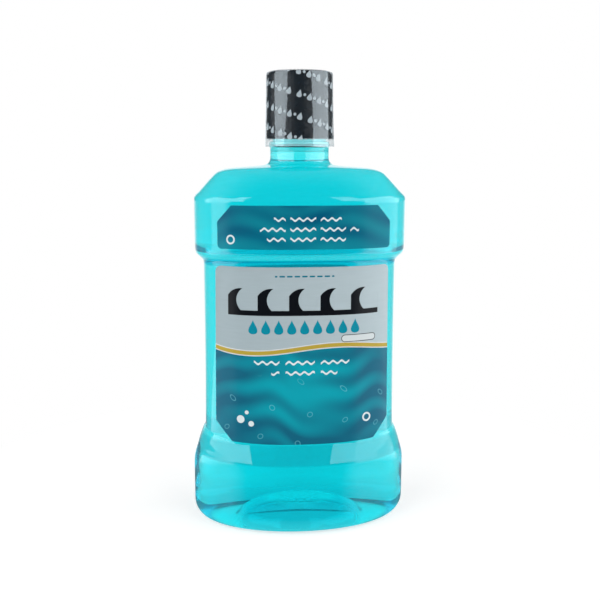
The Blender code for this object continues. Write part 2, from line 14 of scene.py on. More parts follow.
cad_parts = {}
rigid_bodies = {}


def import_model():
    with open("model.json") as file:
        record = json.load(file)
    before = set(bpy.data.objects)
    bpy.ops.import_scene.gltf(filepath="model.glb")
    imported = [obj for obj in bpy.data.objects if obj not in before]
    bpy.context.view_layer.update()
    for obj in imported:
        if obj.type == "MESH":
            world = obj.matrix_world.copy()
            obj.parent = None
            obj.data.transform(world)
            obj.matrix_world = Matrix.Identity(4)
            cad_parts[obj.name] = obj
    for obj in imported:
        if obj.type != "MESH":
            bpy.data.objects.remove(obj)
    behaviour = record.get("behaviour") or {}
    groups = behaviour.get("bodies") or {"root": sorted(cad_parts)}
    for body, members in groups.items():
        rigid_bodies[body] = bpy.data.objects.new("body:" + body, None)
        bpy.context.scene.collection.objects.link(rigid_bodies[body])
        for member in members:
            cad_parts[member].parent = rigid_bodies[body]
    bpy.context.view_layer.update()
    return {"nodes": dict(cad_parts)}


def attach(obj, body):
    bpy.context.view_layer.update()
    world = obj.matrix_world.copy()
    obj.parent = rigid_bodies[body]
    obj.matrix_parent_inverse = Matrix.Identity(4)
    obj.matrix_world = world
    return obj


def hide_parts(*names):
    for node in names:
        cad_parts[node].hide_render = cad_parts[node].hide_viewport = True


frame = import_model()
scene = bpy.context.scene
MM = 0.001

# Outside of the blown body: half width and half depth of each zone
BASE = (66.0, 40.2)
WAIST_FOOT = (58.6, 35.8)
WAIST_HEAD = (57.9, 35.8)
BLOCK = (63.0, 41.0)
CROWN = (43.5, 28.0)
WALL = 0.8

# Heights where the zones end
BASE_TOP = 34.0
FLARE_TOP = 59.5
WAIST_TOP = 160.6
LEDGE_TOP = 172.6
BLOCK_TOP = 200.5
ROOF_TOP = 217.3
CROWN_TOP = 219.3
NECK_TOP = 229.6

# Exponents of the zones' plans, which are superellipses
ELLIPSE = 2.0
WAIST_EXPONENT = 2.5
BLOCK_EXPONENT = 2.7

# Foot: its outer fillet, and its flat ring at the front and at the sides
FOOT_FILLET = 11.5
FOOT_RING = 5.0
FOOT_SIDE = 16.5
FILLET_STEPS = 6

# Domed underside: its edge and rise, the round patch in its middle with the gate and a dashed
# ring, and shares of the rise and of the edge's size between the patch and the edge
DOME = (BASE[0] - FOOT_FILLET - FOOT_SIDE, BASE[1] - FOOT_FILLET - FOOT_RING)
PUSH_UP = 13.5
GATE = 0.4
GATE_DROP = 0.5
PATCH = 10.3
PATCH_START = 6.8
PATCH_STEP = 0.35
PATCH_SAG_SHARE = 0.07
PATCH_WIDTH_SHARE = 1.25
MARK = 9.2
MARK_WIDTH = 0.45
MARK_DROP = 0.45
MARK_DASHES = 12
DOME_SHARES = ((0.78, 0.60), (0.42, 0.86))

# Up a zone: share of its height, and shares of the way from its inner to its outer width and depth
FLARE_SHARES = (
    (0.21, 0.95, 1.00), (0.36, 0.83, 1.00), (0.44, 0.75, 0.98),
    (0.50, 0.68, 0.86), (0.62, 0.57, 0.60), (0.78, 0.39, 0.25),
    (0.87, 0.27, 0.07), (0.94, 0.15, 0.00), (1.00, 0.00, 0.00),
)
LEDGE_SHARES = (
    (0.25, 0.08, 0.00), (0.37, 0.28, 0.02), (0.48, 0.58, 0.15), (0.61, 0.85, 0.50),
    (0.75, 0.96, 0.90), (0.82, 0.98, 1.00), (1.00, 1.00, 1.00),
)
ROOF_SHARES = (
    (0.06, 0.975, 0.985), (0.21, 0.85, 0.86), (0.74, 0.43, 0.34),
    (0.87, 0.31, 0.19), (0.95, 0.16, 0.09), (1.00, 0.00, 0.00),
)

# Neck finish and thread
BORE = 14.6
FINISH = 16.0
NECK = 17.5
BEAD = 18.1
BEAD_TOP = 233.2
RIM_TOP = 256.6
LIQUID_TOP = 241.1
PITCH = 4.2
NECK_FILLET = 4.5
COVE_STEPS = 5
THREAD_FOOT = 247.3
THREAD_DROP = 1.682
THREAD_DEPTH = 1.1
THREAD_FADE_SHARE = 0.1
THREAD_STEP = 0.3
BORE_FLARE_TOP = BEAD_TOP - 0.6
BORE_FLARE_FALL = 8.0
WET = 0.15

# Threads: turns, share of a turn where they start, widths at the root and at the crest
NECK_THREAD = (1.5, 0, 2.2, 1.0)
CAP_THREAD = (1.1, 0.2, 1.5, 0.8)

# Turned profiles as radius and height: up the bead, over the rim, and up the liquid's edge
BEAD_PROFILE = (
    (NECK, NECK_TOP), (NECK + 0.25, NECK_TOP + 0.1), (BEAD - 0.12, NECK_TOP + 0.45),
    (BEAD, NECK_TOP + 0.8), (BEAD, BEAD_TOP - 0.8), (BEAD - 0.12, BEAD_TOP - 0.4),
    (BEAD - 0.6, BEAD_TOP - 0.05), (FINISH + 0.3, BEAD_TOP),
)
RIM_PROFILE = (
    (FINISH, RIM_TOP - 0.5), (FINISH - 0.15, RIM_TOP - 0.15), (FINISH - 0.5, RIM_TOP),
    (BORE + 0.5, RIM_TOP), (BORE + 0.15, RIM_TOP - 0.15), (BORE, RIM_TOP - 0.5),
    (BORE, RIM_TOP - 1.5), (BORE, LIQUID_TOP + 1.0),
)
MENISCUS_PROFILE = (
    (BORE + WET, LIQUID_TOP - 4.0), (BORE + WET, LIQUID_TOP), (BORE + WET, LIQUID_TOP + 0.9),
    (BORE - 0.3, LIQUID_TOP + 0.75), (BORE - 0.8, LIQUID_TOP + 0.4),
    (BORE - 1.6, LIQUID_TOP + 0.12), (BORE - 2.8, LIQUID_TOP), (BORE - 7.0, LIQUID_TOP),
)

# Cap: its outside, its bore, and the measuring cup inside it
CAP_BOTTOM = 234.6
CAP_TOP = 272.9
CAP_HEM = 19.5
CAP_HEAD = 18.9
CAP_EDGE = 1.3
CAP_BORE = 17.5
CUP_FOOT = 258.7
CUP_CEILING = 271.3
CUP = 15.0
CUP_PROFILE = (
    (6.0, CUP_CEILING), (12.0, CUP_CEILING), (CUP - 1.3, CUP_CEILING - 0.02),
    (CUP - 0.65, CUP_CEILING - 0.2), (CUP - 0.2, CUP_CEILING - 0.65), (CUP, CUP_CEILING - 1.3),
    (CUP, CUP_FOOT + 6), (CUP, CUP_FOOT + 0.2), (CUP + 0.2, CUP_FOOT),
    (CAP_BORE - 0.05, CUP_FOOT), (CAP_BORE, CUP_FOOT - 0.1),
)
BORE_EDGE_PROFILE = ((CAP_BORE, CAP_BOTTOM + 0.3), (CAP_BORE + 0.25, CAP_BOTTOM))
HEM_PROFILE = (
    (CAP_HEM - 0.25, CAP_BOTTOM), (CAP_HEM - 0.05, CAP_BOTTOM + 0.1), (CAP_HEM, CAP_BOTTOM + 0.3)
)
LID_PROFILE = ((15.0, CAP_TOP - 0.02), (14.4, CAP_TOP - 0.3), (5.0, CAP_TOP - 0.3))

# Ribs of the cap: their room, the depth that they show, and shares of their height and depth
RIBS = 144
RIB_DEPTH = 0.3
RIB_GROOVE = 0.09
RIB_SHARES = ((0.0, 0.5), (0.02, 1.0), (0.35, 1.0), (0.7, 1.0), (0.985, 1.0), (1.0, 0.6))
RIBBED_LOW = CAP_BOTTOM + 1.3
RIBBED_HIGH = CAP_TOP - 1.5

# Film over the cap: how far its sides lie inside its solid, its gap to the cap and how much wider
# that is at the hem, levels as shares of the way down, and waves in the hem, out and up, as size,
# count and phase
FILM_INNER = 0.3
FILM_OUTER = 0.15
FILM_GAP = 0.7
FILM_LOOSE = 0.35
FILM_TOP = 273.5
FILM_SHOULDER = CAP_TOP - 1.4
FILM_FOOT = 230.2
FILM_SHARES = (0.15, 0.3, 0.45, 0.6, 0.75, 0.86, 0.94, 0.98, 1.0)
HEM_WAVES = ((0.16, 5, 0.7), (0.10, 11, 2.1), (0.05, 23, 0.0))
HEM_LIFTS = ((0.22, 3, 1.0), (0.12, 8, 0.0))

# Labels: half widths at the foot and the head, edges, and rounded and cut corners
FRONT_HALF = 51.8
FRONT_HEAD_HALF = 50.6
FRONT_LOW = 57.0
FRONT_LOW_BOW = 1.2
FRONT_HIGH = 162.5
FRONT_CORNER = 3.5
FRONT_CUT = (9.5, 10.8)
SHOULDER_HALF = 49.2
SHOULDER_LOW = 173.2
SHOULDER_HIGH = 197.7
SHOULDER_CORNER = 2.2
SHOULDER_CUT = (7.8, 9.2)
BACK_HALF = 33.0
BACK_HEAD_HALF = 32.3
BACK_LOW = 65.0
BACK_HIGH = 157.0
BACK_CORNER = 4.0

# Labels: how far their two sides lie off the wall, and the height where their print is measured
LABEL_OFF = (0.04, 0.16)
LABEL_GAUGE = 110.0

# Fineness of the meshes
SIDES = 192
BORE_SIDES = 144
CAP_SIDES = RIBS * 6
LID_SIDES = 96
FILM_SIDES = 240
LABEL_COLUMNS = 121
LABEL_ROWS = 40
SHOULDER_ROWS = 14
RING_STEP = 2.0
TABLE_STEP = 0.5


def lerp(start, end, share):
    return start + (end - start) * share


def eased(share):
    return share * share * (3 - 2 * share)


def smooth_through(places, values, wanted):
    """A curve through the values that never swings past them, read at the wanted places."""
    places = np.asarray(places, float)
    values = np.asarray(values, float)
    steps = np.diff(places)
    rises = np.diff(values) / steps
    slopes = np.zeros(len(places))
    slopes[0] = rises[0]
    slopes[-1] = rises[-1]
    for i in range(1, len(places) - 1):
        if rises[i - 1] * rises[i] > 0:
            first = 2 * steps[i] + steps[i - 1]
            second = steps[i] + 2 * steps[i - 1]
            slopes[i] = (first + second) / (first / rises[i - 1] + second / rises[i])
    found = np.clip(np.searchsorted(places, wanted, side="right") - 1, 0, len(steps) - 1)
    h = steps[found]
    t = (wanted - places[found]) / h
    a = values[found]
    b = values[found + 1]
    m = slopes[found] * h
    n = slopes[found + 1] * h
    return (
        a * (1 + 2 * t) * (1 - t) ** 2
        + m * t * (1 - t) ** 2
        + b * t * t * (3 - 2 * t)
        + n * t * t * (t - 1)
    )


def zone(bottom, top, outer, inner, shares, low_exponent, high_exponent):
    """Levels up the body between two heights, with plans between the inner and the outer one."""
    return [
        (
            lerp(bottom, top, up),
            lerp(inner[0], outer[0], wide),
            lerp(inner[1], outer[1], deep),
            lerp(low_exponent, high_exponent, up),
        )
        for up, wide, deep in shares
    ]


def quarter(radius, steps):
    """Inset and rise at each step of a fillet."""
    angles = [math.pi / 2 * step / steps for step in range(steps + 1)]
    return [(radius * (1 - math.sin(angle)), radius * (1 - math.cos(angle))) for angle in angles]


def body_levels():
    """The body from the foot's outer edge to the plain neck."""
    levels = []
    for inset, rise in quarter(FOOT_FILLET, FILLET_STEPS):
        levels.append((rise, BASE[0] - inset, BASE[1] - inset, ELLIPSE))
    levels.append((BASE_TOP, *BASE, ELLIPSE))
    levels += zone(BASE_TOP, FLARE_TOP, BASE, WAIST_FOOT, FLARE_SHARES, ELLIPSE, WAIST_EXPONENT)
    levels.append((WAIST_TOP, *WAIST_HEAD, WAIST_EXPONENT))
    levels += zone(
        WAIST_TOP, LEDGE_TOP, BLOCK, WAIST_HEAD, LEDGE_SHARES, WAIST_EXPONENT, BLOCK_EXPONENT
    )
    levels.append((BLOCK_TOP, *BLOCK, BLOCK_EXPONENT))
    levels += zone(BLOCK_TOP, ROOF_TOP, BLOCK, CROWN, ROOF_SHARES, BLOCK_EXPONENT, BLOCK_EXPONENT)
    for out, rise in quarter(NECK_FILLET, COVE_STEPS):
        levels.append((CROWN_TOP + rise, NECK + out, NECK + out, ELLIPSE))
    return levels


def push_up_levels():
    """The domed underside, from round its middle out to the foot's inner edge."""
    levels = [(PUSH_UP, GATE, GATE, ELLIPSE)]
    for radius in np.arange(PATCH_START, PATCH, PATCH_STEP):
        share = radius / PATCH
        height = PUSH_UP * (1 - PATCH_SAG_SHARE * share**2)
        levels.append((height, radius * lerp(1, PATCH_WIDTH_SHARE, share**3), radius, ELLIPSE))
    for rise, reach in DOME_SHARES:
        levels.append((PUSH_UP * rise, DOME[0] * reach, DOME[1] * reach, ELLIPSE))
    levels.append((0.0, *DOME, ELLIPSE))
    return levels


def refined(levels, step=RING_STEP):
    """The levels with smooth ones between them."""
    table = np.array(levels, float)
    lengths = np.linalg.norm(np.diff(table[:, :3], axis=0), axis=1)
    places = np.concatenate([[0], np.cumsum(lengths)])
    wanted = [0.0]
    for start, length in zip(places, lengths):
        count = max(2, math.ceil(length / step))
        wanted += [start + length * (i + 1) / count for i in range(count)]
    wanted = np.array(wanted)
    return np.stack([smooth_through(places, table[:, i], wanted) for i in range(4)], axis=1)


def plan_ring(half_width, half_depth, exponent):
    """Points round a superellipse at even steps of its arc, counter-clockwise from +X."""
    turn = np.linspace(0, math.pi / 2, 241)
    x = np.cos(turn) ** (2 / exponent) * half_width
    y = np.sin(turn) ** (2 / exponent) * half_depth
    x[-1] = 0
    arc = np.concatenate([[0], np.cumsum(np.hypot(np.diff(x), np.diff(y)))])
    even = np.linspace(0, arc[-1], SIDES // 4 + 1)
    x = np.interp(even, arc, x)
    y = np.interp(even, arc, y)
    x = np.concatenate([x[:-1], -x[:0:-1], -x[:-1], x[:0:-1]])
    y = np.concatenate([y[:-1], y[:0:-1], -y[:-1], -y[:0:-1]])
    return np.stack([x, y], axis=1)


def level_rings(levels):
    rings = []
    for height, half_width, half_depth, exponent in levels:
        plan = plan_ring(half_width, half_depth, exponent)
        rings.append(np.column_stack([plan, np.full(len(plan), height)]))
    return np.array(rings)


def round_ring(radius, height, sides=SIDES):
    """A level ring round the middle, with one radius or one for each point."""
    turn = np.arange(sides) / sides * math.tau
    radius = np.broadcast_to(radius, sides)
    return np.column_stack([radius * np.cos(turn), radius * np.sin(turn), np.full(sides, height)])


def moved_in(rings, inset):
    """A stack of rings moved square to its surface, towards the inside."""
    around = np.roll(rings, -1, axis=1) - np.roll(rings, 1, axis=1)
    along = np.gradient(rings, axis=0)
    normal = np.cross(around, along)
    normal /= np.linalg.norm(normal, axis=2, keepdims=True)
    return rings - normal * inset


class Skin:
    """One closed surface, gathered ring by ring. A ring of one point is a pole."""

    def __init__(self):
        self.points = []
        self.faces = []
        self.last = None
        self.first = None

    def add(self, ring):
        ring = np.atleast_2d(ring)
        start = len(self.points)
        self.points += [tuple(point) for point in ring]
        made = range(start, start + len(ring))
        if self.last is not None:
            self.join(self.last, made)
        self.first = self.first or made
        self.last = made

    def add_turned(self, profile, sides=SIDES):
        for radius, height in profile:
            self.add(round_ring(radius, height, sides))

    def join(self, a, b):
        """Faces between two rings, which may have different counts of points."""
        if len(a) == len(b):
            for i in range(len(a)):
                n = (i + 1) % len(a)
                self.faces.append((a[i], a[n], b[n], b[i]))
            return
        i = j = 0
        while i < len(a) or j < len(b):
            a_next = j >= len(b) or (i < len(a) and (i + 1) * len(b) <= (j + 1) * len(a))
            if a_next and len(a) > 1:
                self.faces.append((a[i % len(a)], a[(i + 1) % len(a)], b[j % len(b)]))
            elif not a_next and len(b) > 1:
                self.faces.append((a[i % len(a)], b[(j + 1) % len(b)], b[j % len(b)]))
            i += a_next
            j += not a_next

    def close(self):
        self.join(self.last, self.first)


def new_object(name, data):
    made = bpy.data.objects.new(name, data)
    scene.collection.objects.link(made)
    return made


def new_piece(name, points, faces, finishes, body, node, sharp=40):
    """A piece that rides on a body in place of its solid, smooth but for edges past the angle."""
    mesh = bpy.data.meshes.new(name)
    mesh.from_pydata([tuple(c * MM for c in p) for p in points], [], faces)
    for finish in finishes:
        mesh.materials.append(finish)
    mesh.shade_smooth()
    mesh.set_sharp_from_angle(angle=math.radians(sharp))
    mesh.validate()
    made = new_object(name, mesh)
    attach(made, body)
    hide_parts(node)
    return made


def ridge(height, sides, foot, turns, start, root, crest):
    """How far a helical thread stands out round one level."""
    turn = np.arange(sides) / sides
    fade = THREAD_FADE_SHARE * turns
    out = np.zeros(sides)
    for lap in range(-1, 4):
        along = turn + lap - start
        swell = np.clip(np.minimum(along, turns - along) / fade, 0, 1)
        away = np.abs(height - foot - PITCH * (turn + lap))
        flank = np.clip((root / 2 - away) / ((root - crest) / 2), 0, 1)
        out = np.maximum(out, flank * swell * THREAD_DEPTH)
    return out


def embossed(rings):
    """The rings with the mark under the foot, a dashed ring that stands out downwards."""
    radius = np.hypot(rings[..., 0], rings[..., 1])
    turn = np.arctan2(rings[..., 1], rings[..., 0])
    dash = np.clip(np.cos(turn * MARK_DASHES) * 4 + 2.4, 0, 1)
    band = np.clip(2.0 - np.abs(radius - MARK) / MARK_WIDTH, 0, 1)
    in_dome = rings[..., 2] > PUSH_UP / 2
    made = rings.copy()
    made[..., 2] -= MARK_DROP * dash * band * in_dome
    return made


def body_stack():
    """Rings over the whole outside, from the underside's middle to the plain neck."""
    return level_rings(refined(push_up_levels() + body_levels()))


def flare_profile(shares, wet=0.0):
    """The bore as it widens down to the inside of the neck."""
    return [
        (lerp(BORE, NECK - WALL, eased(share)) + wet, BORE_FLARE_TOP - BORE_FLARE_FALL * share)
        for share in shares
    ]


def make_shell(finish):
    """The bottle in one skin: from its foot up the outside, over the rim and down the inside."""
    outside = body_stack()
    inside = moved_in(outside, WALL)
    skin = Skin()
    skin.add([(0, 0, PUSH_UP - GATE_DROP)])
    for ring in embossed(outside):
        skin.add(ring)
    skin.add_turned(BEAD_PROFILE)
    for height in np.arange(BEAD_TOP + THREAD_STEP, RIM_PROFILE[0][1] - 0.1, THREAD_STEP):
        out = ridge(height, SIDES, THREAD_FOOT, *NECK_THREAD)
        skin.add(round_ring(FINISH + out, height))
    skin.add_turned(RIM_PROFILE)
    skin.add_turned((BORE, height) for height in np.linspace(LIQUID_TOP, BORE_FLARE_TOP, 5))
    skin.add_turned(flare_profile(np.linspace(0.1, 1.0, 10)))
    for ring in inside[::-1]:
        skin.add(ring)
    skin.add([(0, 0, PUSH_UP + WALL)])
    new_piece(
        "bottle_shell", skin.points, skin.faces, [finish], "root", "bottle_body"
    )


def make_liquid(finish):
    """The liquid, which wets the wall, so its skin lies a little inside the plastic."""
    skin = Skin()
    skin.add([(0, 0, PUSH_UP + WALL - WET)])
    for ring in moved_in(body_stack(), WALL - WET):
        skin.add(ring)
    skin.add_turned(flare_profile(np.linspace(1.0, 0.0, 11), WET))
    skin.add_turned(MENISCUS_PROFILE)
    skin.add([(0, 0, LIQUID_TOP)])
    new_piece("liquid_fill", skin.points, skin.faces, [finish], "root", "mouthwash")


BODY_TABLE = refined(body_levels(), TABLE_STEP)


def sizes_at(height):
    """Half width, half depth and plan exponent of the body at a height."""
    return [np.interp(height, BODY_TABLE[:, 0], BODY_TABLE[:, i]) for i in (1, 2, 3)]


def wall_at(x, height, out):
    """A place on the body's front wall, moved out square to it in plan."""
    half_width, half_depth, exponent = sizes_at(height)
    share = np.abs(x / half_width)
    depth = half_depth * (1 - share**exponent) ** (1 / exponent)
    slope_x = np.sign(x) * share ** (exponent - 1) / half_width
    slope_y = (depth / half_depth) ** (exponent - 1) / half_depth
    length = np.hypot(slope_x, slope_y)
    return x + out * slope_x / length, depth + out * slope_y / length


def rounded_drop(from_edge, corner):
    """How far a round corner draws a label's edge in, at a distance from its side."""
    inside = np.clip(corner - from_edge, 0, corner)
    return corner - np.sqrt(corner**2 - inside**2)


def chamfer_drop(from_edge, width, height):
    """How far a straight cut draws a label's edge in."""
    return np.clip(height * (1 - from_edge / width), 0, height)


def label_columns(half_width, corner, breaks):
    """Places across a label, closer in its round corners and with its cuts among them."""
    bends = corner * (1 - np.cos(np.linspace(0, math.pi / 2, 9)))
    near = np.concatenate([half_width - bends, half_width - np.array(breaks)])
    even = np.linspace(-1, 1, LABEL_COLUMNS) * half_width
    return np.unique(np.round(np.concatenate([even, near, -near]), 6))


def make_label(name, node, finishes, columns, edges, head_share, facing, rows=LABEL_ROWS):
    """A film on the wall, printed outside and plain inside. Its UV map is the place in metres.

    Facing is the sign of Y on its side of the bottle.
    """
    low, high = edges(columns)
    count = len(columns)
    arc_x, arc_y = wall_at(columns, np.full(count, LABEL_GAUGE), 0)
    arc = np.concatenate([[0], np.cumsum(np.hypot(np.diff(arc_x), np.diff(arc_y)))])
    inner = []
    outer = []
    places = []
    for row in np.linspace(0, 1, rows + 1):
        height = lerp(low, high, row)
        x = columns * lerp(1, head_share, (height - low.min()) / (high.max() - low.min()))
        for out, layer in zip(LABEL_OFF, (inner, outer)):
            plan_x, plan_y = wall_at(x, height, out)
            layer.append(np.column_stack([-facing * plan_x, facing * plan_y, height]))
        places.append(np.column_stack([arc - arc[-1] / 2, height]))
    sheets = np.concatenate([np.array(outer).reshape(-1, 3), np.array(inner).reshape(-1, 3)])
    flat = np.concatenate([np.array(places).reshape(-1, 2)] * 2)
    back = count * (rows + 1)
    faces = []
    for r in range(rows):
        for c in range(count - 1):
            a = r * count + c
            faces.append((a, a + 1, a + count + 1, a + count))
            faces.append((back + a, back + a + count, back + a + count + 1, back + a + 1))
    rim = list(range(count))
    rim += [r * count + count - 1 for r in range(1, rows + 1)]
    rim += [rows * count + c for c in range(count - 2, -1, -1)]
    rim += [r * count for r in range(rows - 1, 0, -1)]
    for a, b in zip(rim, rim[1:] + rim[:1]):
        faces.append((b, a, back + a, back + b))
    made = new_piece(name, sheets, faces, finishes, "root", node)
    for face in made.data.polygons:
        face.material_index = int(min(face.vertices) >= back)
    layer = made.data.uv_layers.new(name="print")
    for loop in made.data.loops:
        layer.data[loop.index].uv = flat[loop.vertex_index] * MM


def front_edges(x):
    """Lower and upper edge of the front label."""
    from_edge = FRONT_HALF - np.abs(x)
    low = FRONT_LOW + FRONT_LOW_BOW * (x / FRONT_HALF) ** 2 + chamfer_drop(from_edge, *FRONT_CUT)
    return low, FRONT_HIGH - rounded_drop(from_edge, FRONT_CORNER)


def shoulder_edges(x):
    """Lower and upper edge of the shoulder label."""
    from_edge = SHOULDER_HALF - np.abs(x)
    low = SHOULDER_LOW + rounded_drop(from_edge, SHOULDER_CORNER)
    return low, SHOULDER_HIGH - chamfer_drop(from_edge, *SHOULDER_CUT)


def back_edges(x):
    """Lower and upper edge of the back label."""
    drop = rounded_drop(BACK_HALF - np.abs(x), BACK_CORNER)
    return BACK_LOW + drop, BACK_HIGH - drop


def ribbed(height, depth_share):
    """A level of the cap's tapered wall with its fine upright ribs."""
    radius = lerp(CAP_HEM, CAP_HEAD, (height - CAP_BOTTOM) / (CAP_TOP - CAP_BOTTOM))
    turn = np.arange(CAP_SIDES) / CAP_SIDES * math.tau
    wave = 0.5 - 0.5 * np.cos(turn * RIBS)
    return round_ring(radius - RIB_GROOVE * depth_share * wave, height, CAP_SIDES)


def make_cap(finish):
    """The cap in one skin: out of its cup, down its thread, round its hem, up its ribs, over it."""
    skin = Skin()
    skin.add([(0, 0, CUP_CEILING)])
    skin.add_turned(CUP_PROFILE, BORE_SIDES)
    for height in np.arange(CUP_FOOT - 0.4, CAP_BOTTOM + 0.5, -THREAD_STEP):
        inward = ridge(height, BORE_SIDES, THREAD_FOOT - THREAD_DROP, *CAP_THREAD)
        skin.add(round_ring(CAP_BORE - inward, height, BORE_SIDES))
    skin.add_turned(BORE_EDGE_PROFILE, BORE_SIDES)
    skin.add_turned(HEM_PROFILE, CAP_SIDES)
    skin.add(ribbed(CAP_BOTTOM + 1.0, 0))
    for up, depth_share in RIB_SHARES:
        skin.add(ribbed(lerp(RIBBED_LOW, RIBBED_HIGH, up), depth_share))
    for fall, inset in quarter(CAP_EDGE, FILLET_STEPS):
        skin.add(round_ring(CAP_HEAD - RIB_DEPTH - inset, CAP_TOP - fall, CAP_SIDES))
    skin.add_turned(LID_PROFILE, LID_SIDES)
    skin.add([(0, 0, CAP_TOP - 0.3)])
    new_piece(
        "ribbed_cap", skin.points, skin.faces, [finish], "cap", "measuring_cap",
        sharp=30,
    )


def film_ring(radius, height, hem):
    """A level of the film, pulled out of round towards its hem where the heat shrank it."""
    turn = np.arange(FILM_SIDES) / FILM_SIDES * math.tau
    wave = sum(size * np.sin(turn * count + phase) for size, count, phase in HEM_WAVES)
    lift = sum(size * np.sin(turn * count + phase) for size, count, phase in HEM_LIFTS)
    ring = round_ring(radius + hem * wave, height, FILM_SIDES)
    ring[:, 2] += hem * lift
    return ring


def film_profile(inset):
    """Radius, height and raggedness down one side of the film, from its lap to its hem."""
    out = FILM_INNER - inset
    head = CAP_HEAD - RIB_DEPTH
    top = FILM_TOP - inset
    points = [
        (head - 3.0, top, 0.6),
        (head - 1.3, top, 0.1),
        (head - 0.3, top - 0.15, 0.0),
        (CAP_HEAD + 0.45 + out * 0.3, CAP_TOP - 0.3, 0.0),
        (CAP_HEAD + 0.68 + out, FILM_SHOULDER, 0.05),
    ]
    for share in FILM_SHARES:
        away = FILM_GAP + FILM_LOOSE * share**3
        radius = lerp(CAP_HEAD, CAP_HEM + 0.05, share) + away + out - 0.05
        points.append((radius, lerp(FILM_SHOULDER, FILM_FOOT, share), share**2))
    return points


def make_film(finish):
    skin = Skin()
    for level in film_profile(FILM_INNER) + film_profile(FILM_OUTER)[::-1]:
        skin.add(film_ring(*level))
    skin.close()
    new_piece(
        "clear_shrink_film", skin.points, skin.faces, [finish], "cap", "shrink_sleeve"
    )


class Field:
    """A number that varies over a surface, worked out by shader nodes."""

    def __init__(self, tree, socket):
        self.tree = tree
        self.socket = socket

    def made(self, operation, *others, clamp=False):
        node = self.tree.nodes.new("ShaderNodeMath")
        node.operation = operation
        node.use_clamp = clamp
        for slot, value in zip(node.inputs, (self, *others)):
            if isinstance(value, Field):
                self.tree.links.new(value.socket, slot)
            else:
                slot.default_value = value
        return Field(self.tree, node.outputs[0])

    def __add__(self, other):
        return self.made("ADD", other)

    def __sub__(self, other):
        return self.made("SUBTRACT", other)

    def __mul__(self, other):
        return self.made("MULTIPLY", other)

    def __truediv__(self, other):
        return self.made("DIVIDE", other)

    def __neg__(self):
        return self * -1

    def __abs__(self):
        return self.made("ABSOLUTE")

    def most(self, other):
        return self.made("MAXIMUM", other)

    def least(self, other):
        return self.made("MINIMUM", other)

    def root(self):
        return self.made("SQRT")

    def clamped(self):
        return self.made("ADD", 0.0, clamp=True)

    def wave(self, period, phase=0.0):
        return (self * (math.tau / period) + phase).made("SINE")

    def repeated(self, period):
        """The same stretch again and again, each one centred on nought."""
        return self.made("WRAP", period / 2, -period / 2)

    def rest(self):
        """What this share leaves of 1."""
        return self * -1 + 1

    def inside(self, blur=0.12):
        """1 where this distance is below nought, 0 above, with a soft edge."""
        return (self * (-1 / blur) + 0.5).clamped()

    def ramp(self, start, end):
        """0 up to the start, 1 from the end on, and even between them."""
        return ((self - start) / (end - start)).clamped()

    def band(self, start, full, last, end):
        """1 from the full value to the last, fading to 0 at the start and the end."""
        return self.ramp(start, full) * self.ramp(end, last)


def disc(u, v, radius):
    """Distance to a disc, below nought inside it. So for the pill and the drop too."""
    return (u * u + v * v).root() - radius


def pill(u, v, half_length, radius):
    along = (abs(u) - half_length).most(0.0)
    return (along * along + v * v).root() - radius


# Widest value of the curve that gives a drop its outline
DROP_BELLY = 1.3


def droplet(u, v, half_width, half_height):
    """A drop with its point up."""
    t = (v / half_height).most(-1.0).least(1.0)
    width = (t * t).rest().most(0.0).root() * t.rest() * (half_width / DROP_BELLY)
    return (abs(u) - width).most(abs(v) - half_height)


